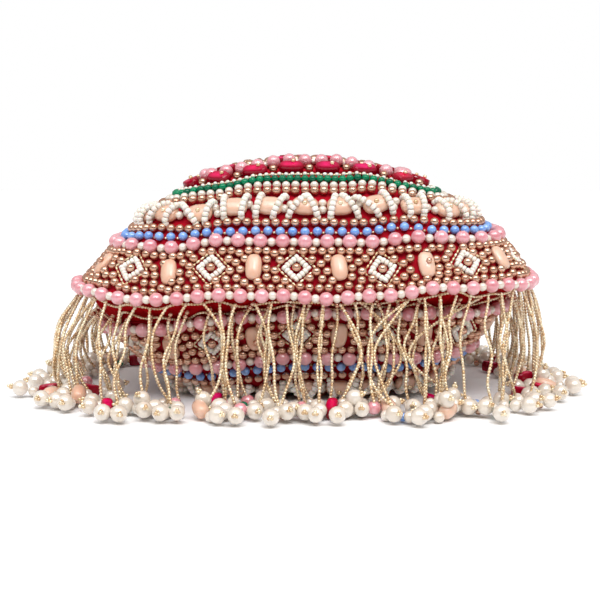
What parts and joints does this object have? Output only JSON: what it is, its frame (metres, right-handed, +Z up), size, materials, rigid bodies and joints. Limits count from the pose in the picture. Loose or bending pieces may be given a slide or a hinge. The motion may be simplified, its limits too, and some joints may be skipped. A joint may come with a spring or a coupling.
{
  "type": "beaded potli bag",
  "caption": "Half-moon beaded potli pouch lying on its back: two domed cloth panels, a velvet gusset, bead strings, sewn stones and a bead fringe round the joined edge.",
  "frame": {"origin": "on the flat underside of the back panel, under the middle of the panels", "axes": "+Z up from the surface that the bag lies on, +X along its width, +Y towards its open mouth"},
  "size_m": [0.2975, 0.1999, 0.123],
  "materials": {
    "silk": "matt red silk, closely sewn with beads",
    "velvet": "deep red velvet",
    "pink_bead": "polished milky pink beads",
    "peach_stone": "polished peach ovals",
    "ruby_stone": "clear ruby red stones",
    "gold_seed": "champagne gold glass seed beads",
    "pearl": "cream pearls",
    "white_bead": "glossy white seed beads",
    "champagne_bead": "rose gold metallic beads",
    "blue_bead": "glossy cornflower blue beads",
    "green_bead": "metallic emerald beads"
  },
  "bodies": {
    "root": {"front_panel": "silk", "back_panel": "silk", "gusset": "velvet", "front_edge_beads": "pink_bead", "back_edge_beads": "pink_bead", "front_ring_beads": "pink_bead", "peach_oval_01": "peach_stone", "peach_oval_02": "peach_stone", "peach_oval_03": "peach_stone", "peach_oval_04": "peach_stone", "peach_oval_05": "peach_stone", "peach_oval_06": "peach_stone", "peach_oval_07": "peach_stone", "peach_oval_08": "peach_stone", "peach_oval_09": "peach_stone", "peach_oval_10": "peach_stone", "peach_oval_11": "peach_stone", "peach_oval_12": "peach_stone", "peach_oval_13": "peach_stone", "peach_oval_14": "peach_stone", "red_stone_01": "ruby_stone", "red_stone_02": "ruby_stone", "red_stone_03": "ruby_stone", "red_stone_04": "ruby_stone", "red_stone_05": "ruby_stone", "red_stone_06": "ruby_stone", "red_stone_07": "ruby_stone", "red_stone_08": "ruby_stone", "red_stone_09": "ruby_stone", "red_stone_10": "ruby_stone", "red_stone_11": "ruby_stone", "red_stone_12": "ruby_stone", "red_stone_13": "ruby_stone", "red_stone_14": "ruby_stone", "red_stone_15": "ruby_stone", "red_stone_16": "ruby_stone", "red_stone_17": "ruby_stone", "red_stone_18": "ruby_stone", "fringe": "gold_seed"}
  },
  "joints": []
}
